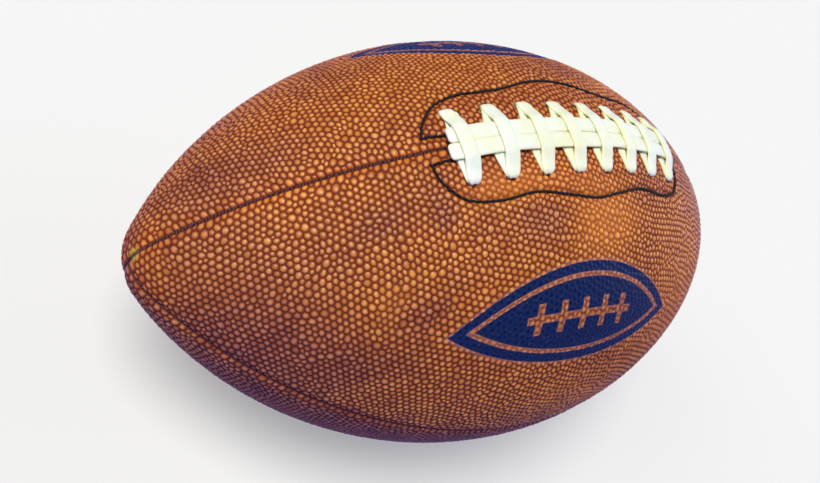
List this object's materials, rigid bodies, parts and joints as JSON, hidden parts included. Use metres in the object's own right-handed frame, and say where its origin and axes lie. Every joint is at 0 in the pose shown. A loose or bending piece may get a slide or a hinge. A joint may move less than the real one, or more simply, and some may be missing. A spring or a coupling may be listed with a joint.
{
  "type": "american football",
  "caption": "Laced prolate leather ball with stitched panels, tapered tips, white lacing, an inner bladder and a needle valve.",
  "frame": {"origin": "centre of the ball, on its long axis halfway between the two tips", "axes": "+X along the long axis, from tip to tip, +Z out through the middle of the laces, +Y across the laces"},
  "size_m": [0.284, 0.163, 0.1661],
  "materials": {
    "leather": "pebbled, semi-gloss",
    "lining": "woven cotton",
    "facing": "smooth, matte",
    "black_thread": "waxed thread",
    "seam_thread": "waxed thread",
    "lace": "smooth vinyl, semi-gloss",
    "tongue": "smooth, matte",
    "bladder": "matte",
    "valve": "matte"
  },
  "bodies": {
    "root": {"panel_top_front": "leather", "panel_top_back": "leather", "panel_bottom_front": "leather", "panel_bottom_back": "leather", "lining_top_front": "lining", "lining_top_back": "lining", "lining_bottom_front": "lining", "lining_bottom_back": "lining", "lace_facing_front": "facing", "lace_facing_back": "facing", "facing_stitch_front": "black_thread", "facing_stitch_back": "black_thread", "seam_thread_front": "seam_thread", "seam_thread_bottom": "seam_thread", "seam_thread_back": "seam_thread", "seam_thread_top_left": "seam_thread", "seam_thread_top_right": "seam_thread", "lace": "lace", "tongue": "tongue", "bladder": "bladder", "valve_body": "valve", "valve_core": "valve"}
  },
  "joints": []
}
